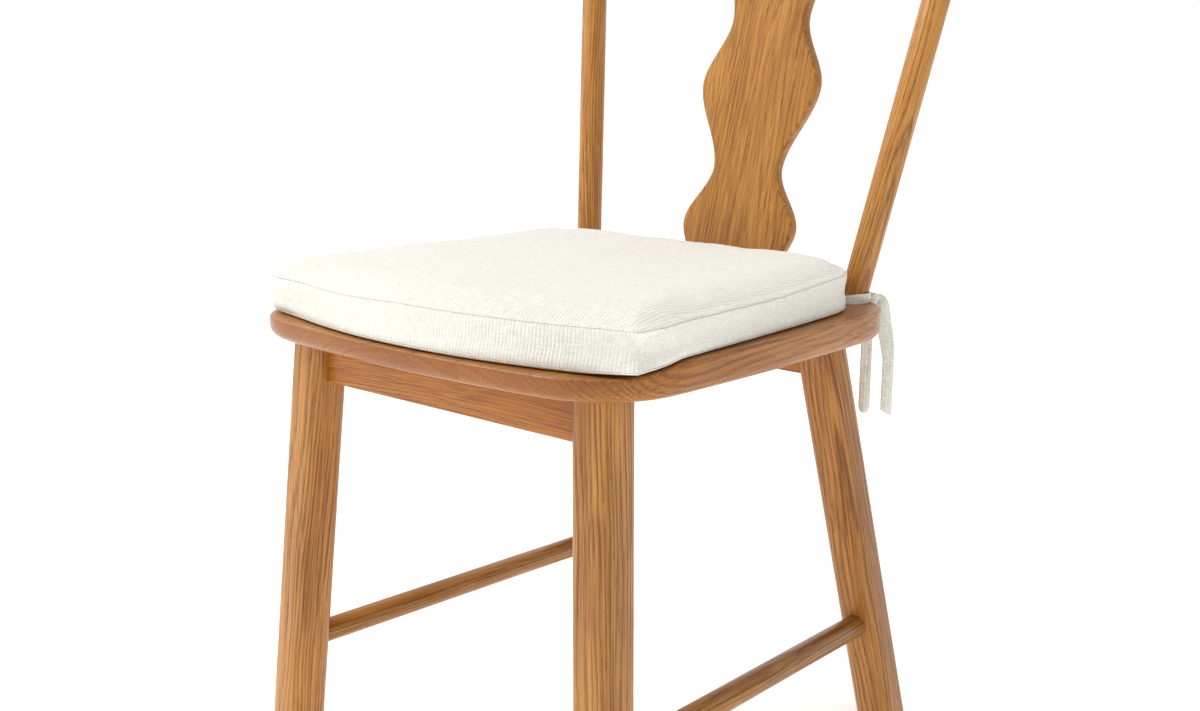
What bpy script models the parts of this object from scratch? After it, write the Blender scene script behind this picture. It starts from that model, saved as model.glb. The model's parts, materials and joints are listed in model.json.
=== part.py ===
"""Oak dining side chair: scooped solid seat, splayed legs, leaning round posts, a vase-shaped
back splat under a bowed crest rail, and a boxed seat cushion tied to the posts.

Metres, +Z up. The chair faces -Y and stands on z = 0. Right is +X. Every piece is placed in the
chair's own frame, whose origin is on the floor under the middle of the seat, and hangs from one
empty that moves that point to the middle of the chair's footprint.
"""

import math
from collections import namedtuple

import bmesh
import bpy
from mathutils import Matrix, Vector

GAP = 0.0003  # glue line between pieces that touch
SIDES = {"left": -1, "right": 1}

# Plan outlines: four bowed edges joined by round corners.
Plan = namedtuple(
    "Plan", "front_half rear_half front_y rear_y front_bow side_bow rear_bow front_round rear_round"
)
SEAT_PLAN = Plan(0.229, 0.2145, -0.227, 0.206, 0.022, 0.0093, 0.030, 0.083, 0.082)
CUSHION_PLAN = Plan(0.2325, 0.1960, -0.1944, 0.1820, 0.0493, 0.0034, 0.0060, 0.0500, 0.0570)

# Seat panel
SEAT_TOP = 0.445
SEAT_THICKNESS = 0.0287
SEAT_UNDERSIDE = SEAT_TOP - SEAT_THICKNESS
SEAT_TOP_ROUND = 0.003
SEAT_UNDERCUT = 0.0105
SCOOP_DEPTH = 0.0096
SCOOP_RIM = 0.034
SCOOP_ROUND = 0.008
FRONT_RAMP = (-0.172, -0.120)  # y where the front flat ends and where the side rims are full height

# Legs
LEG_SIDE = 0.042
LEG_ROUND = 0.012
LEG_TOPS = {"front": (0.175, -0.181), "rear": (0.1474, 0.172)}
LEG_SPLAYS = {"front": (0.065, -0.048), "rear": (0.124, 0.188)}  # outward run per metre of drop
LEG_TENON = 0.022
LEG_TENON_LENGTH = 0.013

# Foot glides
GLIDE_RADIUS = 0.011
GLIDE_THICKNESS = 0.003
GLIDE_NAIL_RADIUS = 0.0015
GLIDE_NAIL_LENGTH = 0.014

# Aprons
APRON_BOTTOM = 0.372
APRON_THICKNESS = 0.018
APRON_SETBACK = 0.001  # how far an apron's middle plane is behind its legs' axes
APRON_SHOULDER = 0.004
APRON_TENON_LENGTH = 0.014
APRON_SCREW_SPACING = 0.100
SCREW_HEAD_RADIUS = 0.0038
SCREW_HEAD_THICKNESS = 0.0025
SCREW_SHANK_RADIUS = 0.0019
SCREW_LENGTH = 0.036
COUNTERBORE_RADIUS = 0.0045
COUNTERBORE_DEPTH = 0.022

# Side stretchers
STRETCHER_Z = 0.1095
STRETCHER_RADIUS = 0.0115
STRETCHER_STOP = 0.005  # the rod ends this far short of the leg axis

# Back posts
POST_RADIUS = 0.0135
POST_FOOT = (0.1713, 0.1931)
POST_LEAN = (0.148, 0.179)  # outward and backward run per metre of height
POST_TENON_RADIUS = 0.010
POST_TENON_LENGTH = 0.018

# Back splat: half widths at the heights where the outline turns
SPLAT_THICKNESS = 0.0133
SPLAT_MIDDLE_Y = 0.2274
SPLAT_LEAN = 0.212
SPLAT_HOUSING = 0.012
SPLAT_TURNS = [(0.445, 0.050), (0.501, 0.0705), (0.561, 0.0415), (0.648, 0.073), (0.718, 0.046), (0.770, 0.056)]
SPLAT_ROUND = 0.003

# Crest rail
CREST_BOTTOM = 0.770
CREST_HEIGHT = 0.054
CREST_END_DROP = 0.010
CREST_THICKNESS = 0.024
CREST_OVERHANG = 0.012
CREST_LEAN = 0.195
CREST_ROUND = 0.007

# Seat cushion
CUSHION_BOTTOM = SEAT_TOP - SCOOP_DEPTH + 0.0004
CUSHION_BOX = 0.0355  # height of the side band
CUSHION_CROWN = 0.012
CROWN_RINGS = (0.95, 0.85, 0.68, 0.40)  # shares of the outline where the crown is stepped up
CUSHION_LIFT = 0.0005  # clearance between the cushion and the seat surface
COVER_THICKNESS = 0.0015
ZIP_HALF_LENGTH = 0.125
ZIP_WIDTH = 0.004
ZIP_SLIDER_X = 0.105
ZIP_Z = SEAT_TOP + 0.010

# Cushion ties
TIE_WIDTH = 0.010
TIE_THICKNESS = 0.0012
TIE_Z = SEAT_TOP + 0.0072
TIE_CLEARANCE = 0.0008
# Angles round the post, from its outer side towards the back
TIE_START = math.radians(-84)
TIE_END = math.radians(36)
KNOT_ANGLE = math.radians(58)
KNOT_RADIUS = 0.0060
TAIL_ROUTES = {
    "long": [(0.1915, 0.2145, 0.451), (0.2000, 0.2165, 0.445), (0.2040, 0.2170, 0.420), (0.2045, 0.2170, 0.335)],
    "short": [(0.1875, 0.2100, 0.4425), (0.1930, 0.2112, 0.428), (0.2030, 0.2128, 0.388)],
    "inner": [(0.1790, 0.2205, 0.4440), (0.1745, 0.2290, 0.425), (0.1733, 0.2290, 0.400), (0.1740, 0.2290, 0.331)],
}


# ---------------------------------------------------------------- scene, collections and materials

for leftover in list(bpy.data.objects):
    bpy.data.objects.remove(leftover)

chair = bpy.data.collections.new("dining_chair")
cutters = bpy.data.collections.new("cutters")
bpy.context.scene.collection.children.link(chair)
bpy.context.scene.collection.children.link(cutters)

seat_front = SEAT_PLAN.front_y - SEAT_PLAN.front_bow
crest_back = SPLAT_MIDDLE_Y + SPLAT_LEAN * (CREST_BOTTOM - SEAT_TOP) + CREST_LEAN * CREST_HEIGHT
crest_back += CREST_THICKNESS / 2
origin = bpy.data.objects.new("chair_origin", None)
chair.objects.link(origin)

FINISHES = {
    "oak_seat": ((0.43, 0.22, 0.09), 0.42, 0.0),
    "oak_frame": ((0.45, 0.23, 0.085), 0.42, 0.0),
    "oak_back": ((0.46, 0.24, 0.09), 0.40, 0.0),
    "cushion_linen": ((0.80, 0.79, 0.72), 0.92, 0.0),
    "foam": ((0.85, 0.80, 0.62), 0.95, 0.0),
    "zip_nylon": ((0.78, 0.77, 0.71), 0.60, 0.0),
    "glide_nylon": ((0.30, 0.18, 0.10), 0.45, 0.0),
    "screw_steel": ((0.60, 0.58, 0.52), 0.35, 1.0),
}


def finish(piece, name):
    """Give a piece its own Principled material."""
    colour, roughness, metallic = FINISHES[name]
    material = bpy.data.materials.new(piece.name)
    material.use_nodes = True
    shader = material.node_tree.nodes["Principled BSDF"]
    shader.inputs["Base Color"].default_value = (*colour, 1.0)
    shader.inputs["Roughness"].default_value = roughness
    shader.inputs["Metallic"].default_value = metallic
    material.diffuse_color = (*colour, 1.0)
    piece.data.materials.clear()
    piece.data.materials.append(material)


def add(name, mesh, place=(0, 0, 0), look=None):
    """Put a mesh in the chair. Without a look it is a cutter."""
    piece = bpy.data.objects.new(name, mesh)
    piece.location = place
    piece.parent = origin
    if look is None:
        cutters.objects.link(piece)
        piece.hide_render = True
        piece.display_type = "WIRE"
    else:
        chair.objects.link(piece)
        finish(piece, look)
        mesh.shade_smooth()
        mesh.set_sharp_from_angle(angle=math.radians(40))
    return piece


def cut(piece, *tools):
    """Take the cutters away from a piece."""
    for tool in tools:
        boolean = piece.modifiers.new(tool.name, "BOOLEAN")
        boolean.operation = "DIFFERENCE"
        boolean.solver = "EXACT"
        boolean.object = tool


# ---------------------------------------------------------------- shapes


def to_mesh(name, bm):
    mesh = bpy.data.meshes.new(name)
    bm.to_mesh(mesh)
    bm.free()
    return mesh


def bowed_edge(start, end, bow):
    """Centre and radius of the arc from start to end that bulges out by bow."""
    half = (end - start).length / 2
    radius = (half**2 + bow**2) / (2 * bow)
    along = (end - start).normalized()
    outward = Vector((along.y, -along.x))
    return (start + end) / 2 - outward * (radius - bow), radius


def corner_centre(first, second, radius, corner):
    """Centre of the round that touches two bowed edges from inside, near a corner."""
    reach_1, reach_2 = first[1] - radius, second[1] - radius
    apart = (second[0] - first[0]).length
    along = (second[0] - first[0]) / apart
    run = (apart**2 + reach_1**2 - reach_2**2) / (2 * apart)
    rise = math.sqrt(reach_1**2 - run**2)
    across = Vector((-along.y, along.x)) * rise
    places = [first[0] + along * run + across, first[0] + along * run - across]
    return min(places, key=lambda place: (place - corner).length)


def arc(centre, radius, start, end, steps):
    """Points on a circle, from the direction of start to just before the direction of end."""
    first = math.atan2(start.y - centre.y, start.x - centre.x)
    turn = math.atan2(end.y - centre.y, end.x - centre.x) - first
    turn = (turn + math.pi) % (2 * math.pi) - math.pi
    angles = [first + turn * step / steps for step in range(steps)]
    return [centre + radius * Vector((math.cos(angle), math.sin(angle))) for angle in angles]


def rounded_outline(plan, inset=0.0, edge_steps=6, corner_steps=6):
    """A plan's outline, anticlockwise from the front left, moved inwards by inset."""
    corners = [
        Vector((-plan.front_half, plan.front_y)),
        Vector((plan.front_half, plan.front_y)),
        Vector((plan.rear_half, plan.rear_y)),
        Vector((-plan.rear_half, plan.rear_y)),
    ]
    bows = [plan.front_bow, plan.side_bow, plan.rear_bow, plan.side_bow]
    rounds = [plan.front_round, plan.rear_round, plan.rear_round, plan.front_round]
    edges = []
    for start, end, bow in zip(corners, corners[1:] + corners[:1], bows):
        centre, radius = bowed_edge(start, end, bow)
        edges.append((centre, radius - inset))
    hubs = []
    for index, radius in enumerate(rounds):
        second = (index + 1) % 4
        hubs.append((corner_centre(edges[index], edges[second], radius - inset, corners[second]), radius - inset))
    points = []
    for index, (centre, radius) in enumerate(edges):
        before, after = hubs[index - 1][0], hubs[index][0]
        following = edges[(index + 1) % 4][0]
        edge_start = centre + (before - centre).normalized() * radius
        edge_end = centre + (after - centre).normalized() * radius
        points += arc(centre, radius, edge_start, edge_end, edge_steps)
        round_end = after + (after - following).normalized()
        points += arc(after, hubs[index][1], edge_end, round_end, corner_steps)
    return points


def slab(name, points, thickness):
    """A flat outline with straight sides, centred on its own XY plane, as a mesh with whole caps."""
    curve = bpy.data.curves.new(name, "CURVE")
    curve.dimensions = "2D"
    curve.fill_mode = "BOTH"
    curve.extrude = thickness / 2
    spline = curve.splines.new("POLY")
    spline.points.add(len(points) - 1)
    for knot, point in zip(spline.points, points):
        knot.co = (point[0], point[1], 0, 1)
    spline.use_cyclic_u = True
    return whole_mesh(curve)


def whole_mesh(curve):
    """The closed mesh of a filled curve, with each flat cap as one face."""
    guide = bpy.data.objects.new(curve.name, curve)
    cutters.objects.link(guide)
    bpy.context.view_layer.update()
    mesh = bpy.data.meshes.new_from_object(guide.evaluated_get(bpy.context.evaluated_depsgraph_get()))
    bpy.data.objects.remove(guide)
    bm = bmesh.new()
    bm.from_mesh(mesh)
    bmesh.ops.remove_doubles(bm, verts=bm.verts, dist=0.00001)
    bmesh.ops.dissolve_limit(bm, angle_limit=0.001, verts=bm.verts, edges=bm.edges)
    bm.to_mesh(mesh)
    bm.free()
    return mesh


def round_level_edges(mesh, z, offset, segments):
    """Round every edge of a mesh that lies on one level."""
    bm = bmesh.new()
    bm.from_mesh(mesh)
    level = [e for e in bm.edges if all(abs(v.co.z - z) < 1e-6 for v in e.verts)]
    bmesh.ops.bevel(bm, geom=level, offset=offset, segments=segments, profile=0.5, affect="EDGES")
    bm.to_mesh(mesh)
    bm.free()


def lean_matrix(lean_x, lean_y):
    """Pushes a mesh over sideways, so that level cuts stay level."""
    return Matrix(((1, 0, lean_x, 0), (0, 1, lean_y, 0), (0, 0, 1, 0), (0, 0, 0, 1)))


def end_face(bm, direction):
    """The face of a mesh furthest along a direction."""
    return max(bm.faces, key=lambda face: face.calc_center_median().dot(Vector(direction)))


def pull_tenon(bm, direction, shoulder, length):
    """Draw a tenon out of the end face, set in by shoulder all round."""
    bm.normal_update()
    face = end_face(bm, direction)
    bmesh.ops.inset_individual(bm, faces=[face], thickness=shoulder, use_even_offset=True)
    pulled = bmesh.ops.extrude_face_region(bm, geom=[face])
    moved = [item for item in pulled["geom"] if isinstance(item, bmesh.types.BMVert)]
    bmesh.ops.translate(bm, verts=moved, vec=Vector(direction) * length)
    bmesh.ops.delete(bm, geom=[face], context="FACES_ONLY")


def block(size, centre=(0, 0, 0)):
    bm = bmesh.new()
    bmesh.ops.create_cube(bm, size=1.0)
    bmesh.ops.scale(bm, verts=bm.verts, vec=size)
    bmesh.ops.translate(bm, verts=bm.verts, vec=centre)
    return bm


def cylinder(radius, z0, z1, segments=20):
    bm = bmesh.new()
    bmesh.ops.create_cone(
        bm, cap_ends=True, segments=segments, radius1=radius, radius2=radius, depth=z1 - z0
    )
    bmesh.ops.translate(bm, verts=bm.verts, vec=(0, 0, (z0 + z1) / 2))
    return bm


def leg_bar(side, rounding, height):
    """A square bar standing on z = 0 with rounded arrises."""
    bm = block((side, side, height), (0, 0, height / 2))
    upright = [e for e in bm.edges if abs(e.verts[0].co.z - e.verts[1].co.z) > height / 2]
    bmesh.ops.bevel(bm, geom=upright, offset=rounding, segments=4, profile=0.5, affect="EDGES")
    return bm


def rod_mesh(name, start, end, radius, segments=20):
    """A straight round rod between two points."""
    length = (end - start).length
    bm = cylinder(radius, 0, length, segments)
    turn = (end - start).to_track_quat("Z", "Y").to_matrix().to_4x4()
    bmesh.ops.transform(bm, matrix=Matrix.Translation(start) @ turn, verts=bm.verts)
    return to_mesh(name, bm)


# ---------------------------------------------------------------- seat panel


def seat_block(name, lift=0.0):
    """The scooped panel with its rounded edge, raised by lift."""
    mesh = slab(name, rounded_outline(SEAT_PLAN), SEAT_THICKNESS)
    round_level_edges(mesh, SEAT_THICKNESS / 2, SEAT_TOP_ROUND, 2)
    round_level_edges(mesh, -SEAT_THICKNESS / 2, SEAT_UNDERCUT, 3)
    mesh.transform(Matrix.Translation((0, 0, SEAT_TOP - SEAT_THICKNESS / 2 + lift)))
    return mesh


def scoop_tools(lift=0.0):
    """Cutters for the scoop: a rounded well, and a ramp that carries it out through the front edge."""
    above = 0.020
    well = slab("scoop_well", rounded_outline(SEAT_PLAN, SCOOP_RIM), SCOOP_DEPTH + above)
    round_level_edges(well, -(SCOOP_DEPTH + above) / 2, SCOOP_ROUND, 3)
    floor = SEAT_TOP - SCOOP_DEPTH + lift
    well.transform(Matrix.Translation((0, 0, floor + (SCOOP_DEPTH + above) / 2)))
    low, high = FRONT_RAMP
    rise = SCOOP_DEPTH + 0.0002
    ramp = [(low - 0.12, floor), (low, floor)]
    for step in range(1, 7):
        t = step / 6
        ramp.append((low + (high - low) * t, floor + rise * t * t * (3 - 2 * t)))
    ramp += [(high, floor + rise + above), (low - 0.12, floor + rise + above)]
    front = slab("scoop_front", ramp, 0.56)
    front.transform(Matrix(((0, 0, 1, 0), (1, 0, 0, 0), (0, 1, 0, 0), (0, 0, 0, 1))))
    return add("cut_scoop_well", well), add("cut_scoop_front", front)


seat = add("seat_panel", seat_block("seat_panel"), look="oak_seat")
cut(seat, *scoop_tools())


# ---------------------------------------------------------------- legs, glides, stretchers and aprons


def leg_axis(end, side, z):
    """Where a leg's axis passes a height."""
    drop = SEAT_UNDERSIDE - z
    x = LEG_TOPS[end][0] + LEG_SPLAYS[end][0] * drop
    y = LEG_TOPS[end][1] + LEG_SPLAYS[end][1] * drop
    return Vector((side * x, y, z))


legs = {}
for end in LEG_TOPS:
    for word, side in SIDES.items():
        lean = lean_matrix(-side * LEG_SPLAYS[end][0], -LEG_SPLAYS[end][1])
        height = SEAT_UNDERSIDE - GLIDE_THICKNESS - 2 * GAP
        bm = leg_bar(LEG_SIDE, LEG_ROUND, height)
        pull_tenon(bm, (0, 0, 1), (LEG_SIDE - LEG_TENON) / 2, LEG_TENON_LENGTH)
        mesh = to_mesh(f"{end}_leg_{word}", bm)
        mesh.transform(lean)
        leg = add(mesh.name, mesh, leg_axis(end, side, GLIDE_THICKNESS + GAP), "oak_frame")
        legs[end, word] = leg

        socket = LEG_TENON + 2 * GAP
        bm = block((socket, socket, LEG_TENON_LENGTH + 0.002), (0, 0, LEG_TENON_LENGTH / 2 - 0.001 + GAP))
        mortise = to_mesh("leg_mortise", bm)
        mortise.transform(lean)
        cut(seat, add(f"cut_{end}_leg_{word}", mortise, leg_axis(end, side, SEAT_UNDERSIDE)))

        bm = cylinder(GLIDE_RADIUS, 0, GLIDE_THICKNESS, 24)
        pull_tenon(bm, (0, 0, 1), GLIDE_RADIUS - GLIDE_NAIL_RADIUS, GLIDE_NAIL_LENGTH)
        foot = leg_axis(end, side, 0)
        add(f"foot_glide_{end}_{word}", to_mesh("foot_glide", bm), foot, "glide_nylon")
        nail_top = GLIDE_THICKNESS + GLIDE_NAIL_LENGTH + GAP
        hole = to_mesh("nail_hole", cylinder(GLIDE_NAIL_RADIUS + GAP, 0, nail_top, 12))
        cut(leg, add(f"cut_nail_{end}_{word}", hole, foot))

for word, side in SIDES.items():
    ends = [leg_axis(end, side, STRETCHER_Z) for end in ("front", "rear")]
    along = (ends[1] - ends[0]).normalized()
    start, stop = ends[0] + along * STRETCHER_STOP, ends[1] - along * STRETCHER_STOP
    name = f"side_stretcher_{word}"
    add(name, rod_mesh(name, start, stop, STRETCHER_RADIUS), look="oak_frame")
    socket = rod_mesh("stretcher_mortise", start - along * GAP, stop + along * GAP, STRETCHER_RADIUS + GAP)
    tool = add(f"cut_stretcher_{word}", socket)
    cut(legs["front", word], tool)
    cut(legs["rear", word], tool)

for end in LEG_TOPS:
    top = SEAT_UNDERSIDE - GAP
    middle_y = LEG_TOPS[end][1] + APRON_SETBACK
    run = LEG_SPLAYS[end][0]
    half_top = LEG_TOPS[end][0] - LEG_SIDE / 2 - GAP + run * GAP
    bm = block((2 * half_top, APRON_THICKNESS, top - APRON_BOTTOM), (0, middle_y, (top + APRON_BOTTOM) / 2))
    for vertex in bm.verts:
        vertex.co.x += math.copysign(run * (top - vertex.co.z), vertex.co.x)
    for side in SIDES.values():
        pull_tenon(bm, (side, 0, 0), APRON_SHOULDER, APRON_TENON_LENGTH)
    apron = add(f"{end}_apron", to_mesh(f"{end}_apron", bm), look="oak_frame")

    deepest = run * (top - APRON_BOTTOM)
    for word, side in SIDES.items():
        length = APRON_TENON_LENGTH + deepest + 0.002
        size = (
            length,
            APRON_THICKNESS - 2 * APRON_SHOULDER + 2 * GAP,
            top - APRON_BOTTOM - 2 * APRON_SHOULDER + 4 * GAP,
        )
        centre = (side * (half_top - 0.001 + length / 2), middle_y, (top + APRON_BOTTOM) / 2)
        cut(legs[end, word], add(f"cut_{end}_apron_{word}", to_mesh("apron_mortise", block(size, centre))))

    for number, spot in enumerate(("left", "middle", "right"), start=-1):
        place = Vector((number * APRON_SCREW_SPACING, middle_y, APRON_BOTTOM + COUNTERBORE_DEPTH))
        bm = cylinder(SCREW_HEAD_RADIUS, -SCREW_HEAD_THICKNESS, -GAP, 12)
        pull_tenon(bm, (0, 0, 1), SCREW_HEAD_RADIUS - SCREW_SHANK_RADIUS, SCREW_LENGTH)
        add(f"apron_screw_{end}_{spot}", to_mesh("apron_screw", bm), place, "screw_steel")
        bore = to_mesh("bore", cylinder(COUNTERBORE_RADIUS, -COUNTERBORE_DEPTH - 0.001, 0, 16))
        pilot = to_mesh("pilot", cylinder(SCREW_SHANK_RADIUS + GAP, -0.001, SCREW_LENGTH, 12))
        hole = add(f"cut_pilot_{end}_{spot}", pilot, place)
        cut(apron, add(f"cut_counterbore_{end}_{spot}", bore, place), hole)
        cut(seat, hole)


# ---------------------------------------------------------------- back: posts, splat and crest rail


def post_axis(side, z):
    rise = z - SEAT_TOP
    return Vector((side * (POST_FOOT[0] + POST_LEAN[0] * rise), POST_FOOT[1] + POST_LEAN[1] * rise, z))


def crest_line(x):
    """How far forward of its middle the bowed crest rail is, at x."""
    post = post_axis(1, CREST_BOTTOM)
    depth = SPLAT_MIDDLE_Y + SPLAT_LEAN * (CREST_BOTTOM - SEAT_TOP) - post.y
    radius = (post.x**2 + depth**2) / (2 * depth)
    return radius - math.sqrt(radius**2 - x**2)


crest_half = post_axis(1, CREST_BOTTOM).x + POST_RADIUS + CREST_OVERHANG
bm = block((2 * crest_half, CREST_THICKNESS, CREST_HEIGHT), (0, 0, CREST_HEIGHT / 2))
bmesh.ops.bevel(bm, geom=list(bm.edges), offset=CREST_ROUND, segments=3, profile=0.5, affect="EDGES")
long_edges = [e for e in bm.edges if abs(e.verts[0].co.x - e.verts[1].co.x) > crest_half]
bmesh.ops.subdivide_edges(bm, edges=long_edges, cuts=15, use_grid_fill=True)
for vertex in bm.verts:
    share = vertex.co.z / CREST_HEIGHT
    vertex.co.z -= share * CREST_END_DROP * (vertex.co.x / crest_half) ** 2
    vertex.co.y -= crest_line(vertex.co.x)
mesh = to_mesh("crest_rail", bm)
mesh.transform(lean_matrix(0, CREST_LEAN))
crest_foot = (0, SPLAT_MIDDLE_Y + SPLAT_LEAN * (CREST_BOTTOM - SEAT_TOP), CREST_BOTTOM)
crest = add("crest_rail", mesh, crest_foot, "oak_back")

for word, side in SIDES.items():
    bm = cylinder(POST_RADIUS, 0, CREST_BOTTOM - SEAT_TOP - 2 * GAP, 24)
    shoulder = POST_RADIUS - POST_TENON_RADIUS
    pull_tenon(bm, (0, 0, 1), shoulder, POST_TENON_LENGTH)
    pull_tenon(bm, (0, 0, -1), shoulder, POST_TENON_LENGTH)
    mesh = to_mesh(f"back_post_{word}", bm)
    lean = lean_matrix(side * POST_LEAN[0], POST_LEAN[1])
    mesh.transform(lean)
    add(mesh.name, mesh, post_axis(side, SEAT_TOP + GAP), "oak_back")
    for z, piece in ((SEAT_TOP, seat), (CREST_BOTTOM, crest)):
        reach = POST_TENON_LENGTH + GAP
        socket = to_mesh("post_mortise", cylinder(POST_TENON_RADIUS + GAP, -reach, reach, 24))
        socket.transform(lean)
        cut(piece, add(f"cut_{piece.name}_post_{word}", socket, post_axis(side, z)))


def splat_mesh():
    """A flat board whose edge swings between its turning heights, set in at both ends."""
    heights = [(SEAT_TOP - SPLAT_HOUSING, SPLAT_TURNS[0][1])] + SPLAT_TURNS
    heights += [(CREST_BOTTOM + SPLAT_HOUSING, SPLAT_TURNS[-1][1])]
    right = [(half, z - SEAT_TOP) for z, half in heights]
    outline = right + [(-half, z) for half, z in reversed(right)]
    curve = bpy.data.curves.new("back_splat", "CURVE")
    curve.dimensions = "2D"
    curve.fill_mode = "BOTH"
    curve.resolution_u = 7
    curve.extrude = SPLAT_THICKNESS / 2
    spline = curve.splines.new("BEZIER")
    spline.use_cyclic_u = True
    spline.bezier_points.add(len(outline) - 1)
    count = len(outline)
    for index, (knot, (x, z)) in enumerate(zip(spline.bezier_points, outline)):
        knot.handle_left_type = knot.handle_right_type = "FREE"
        knot.co = (x, z, 0)
        for handle, other in (("handle_left", index - 1), ("handle_right", (index + 1) % count)):
            towards = Vector((*outline[other], 0)) - knot.co
            same_side = outline[other][0] * x > 0
            reach = Vector((0, towards.y / 3, 0)) if same_side else towards / 3
            setattr(knot, handle, knot.co + reach)
    return whole_mesh(curve)


mesh = splat_mesh()
for face_z in (SPLAT_THICKNESS / 2, -SPLAT_THICKNESS / 2):
    round_level_edges(mesh, face_z, SPLAT_ROUND, 2)
mesh.transform(Matrix.Rotation(math.radians(90), 4, "X"))
mesh.transform(lean_matrix(0, SPLAT_LEAN))
add("back_splat", mesh, (0, SPLAT_MIDDLE_Y, SEAT_TOP), "oak_back")

for z, half, piece in ((SEAT_TOP, SPLAT_TURNS[0][1], seat), (CREST_BOTTOM, SPLAT_TURNS[-1][1], crest)):
    depth = 2 * (SPLAT_HOUSING + GAP)
    housing = to_mesh("housing", block((2 * (half + GAP), SPLAT_THICKNESS + 2 * GAP, depth)))
    housing.transform(lean_matrix(0, SPLAT_LEAN))
    place = (0, SPLAT_MIDDLE_Y + SPLAT_LEAN * (z - SEAT_TOP), z)
    cut(piece, add(f"cut_{piece.name}_splat", housing, place))


# ---------------------------------------------------------------- seat cushion


def cushion_form(name, shrink):
    """The boxed cushion's solid, with its crowned top, shrunk on every side."""
    height = CUSHION_BOX - 2 * shrink
    mesh = slab(name, rounded_outline(CUSHION_PLAN, shrink, 5, 4), height)
    mesh.transform(Matrix.Translation((0, 0, CUSHION_BOTTOM + shrink + height / 2)))
    bm = bmesh.new()
    bm.from_mesh(mesh)
    top = end_face(bm, (0, 0, 1))
    middle = Matrix.Translation(-top.calc_center_median())
    reach, height = 1.0, 0.0
    for ring in CROWN_RINGS:
        pulled = bmesh.ops.extrude_face_region(bm, geom=[top])["geom"]
        bmesh.ops.delete(bm, geom=[top], context="FACES_ONLY")
        top = next(item for item in pulled if isinstance(item, bmesh.types.BMFace))
        rise = CUSHION_CROWN * (1 - ring**3)
        bmesh.ops.scale(bm, verts=top.verts, vec=(ring / reach, ring / reach, 1), space=middle)
        bmesh.ops.translate(bm, verts=top.verts, vec=(0, 0, rise - height))
        reach, height = ring, rise
    bm.to_mesh(mesh)
    bm.free()
    return mesh


def raised_seat(name, lift):
    """The seat's top surface raised by lift, as a cutter for what lies on it."""
    tool = add(name, seat_block(name, lift))
    cut(tool, *scoop_tools(lift))
    return tool


cover = add("cushion_cover", cushion_form("cushion_cover", 0), look="cushion_linen")
cut(cover, raised_seat("cut_cover_underside", CUSHION_LIFT))
cavity = add("cut_cover_cavity", cushion_form("cover_cavity", COVER_THICKNESS))
cut(cavity, raised_seat("cut_cavity_underside", CUSHION_LIFT + COVER_THICKNESS))
zip_back = CUSHION_PLAN.rear_y + CUSHION_PLAN.rear_bow
mouth = block((2 * ZIP_HALF_LENGTH, 0.012, ZIP_WIDTH), (0, zip_back - 0.003, ZIP_Z))
cut(cover, cavity, add("cut_zip_mouth", to_mesh("zip_mouth", mouth)))

foam = add("cushion_foam", cushion_form("cushion_foam", COVER_THICKNESS + GAP), look="foam")
cut(foam, raised_seat("cut_foam_underside", CUSHION_LIFT + COVER_THICKNESS + GAP))

tape = block((2 * (ZIP_HALF_LENGTH - GAP), 0.0008, ZIP_WIDTH - 2 * GAP))
bmesh.ops.subdivide_edges(
    tape, edges=[e for e in tape.edges if abs(e.verts[0].co.x - e.verts[1].co.x) > 0.1], cuts=9,
    use_grid_fill=True,
)
bow_radius = bowed_edge(
    Vector((-CUSHION_PLAN.rear_half, 0)), Vector((CUSHION_PLAN.rear_half, 0)), CUSHION_PLAN.rear_bow
)[1]
for vertex in tape.verts:
    vertex.co.y -= bow_radius - math.sqrt(bow_radius**2 - vertex.co.x**2)
add("cushion_zip_tape", to_mesh("cushion_zip_tape", tape), (0, zip_back - 0.0007, ZIP_Z), "zip_nylon")
slider = to_mesh("cushion_zip_slider", block((0.007, 0.0016, 0.006)))
sag = bow_radius - math.sqrt(bow_radius**2 - ZIP_SLIDER_X**2)
add("cushion_zip_slider", slider, (ZIP_SLIDER_X, zip_back - sag + 0.0014, ZIP_Z), "screw_steel")


# ---------------------------------------------------------------- cushion ties


def ribbon(name, route, width):
    """A flat tape that follows a route, its width level and facing the back."""
    bm = bmesh.new()
    bmesh.ops.create_grid(bm, x_segments=1, y_segments=len(route) - 1, size=0.5)
    for vertex in bm.verts:
        index = round((vertex.co.y + 0.5) * (len(route) - 1))
        before, after = route[max(index - 1, 0)], route[min(index + 1, len(route) - 1)]
        run = (after - before).normalized()
        across = run.cross(Vector((0, 1, 0))).normalized()
        vertex.co = route[index] + across * math.copysign(width / 2, vertex.co.x)
    bmesh.ops.recalc_face_normals(bm, faces=bm.faces)
    return to_mesh(name, bm)


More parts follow.
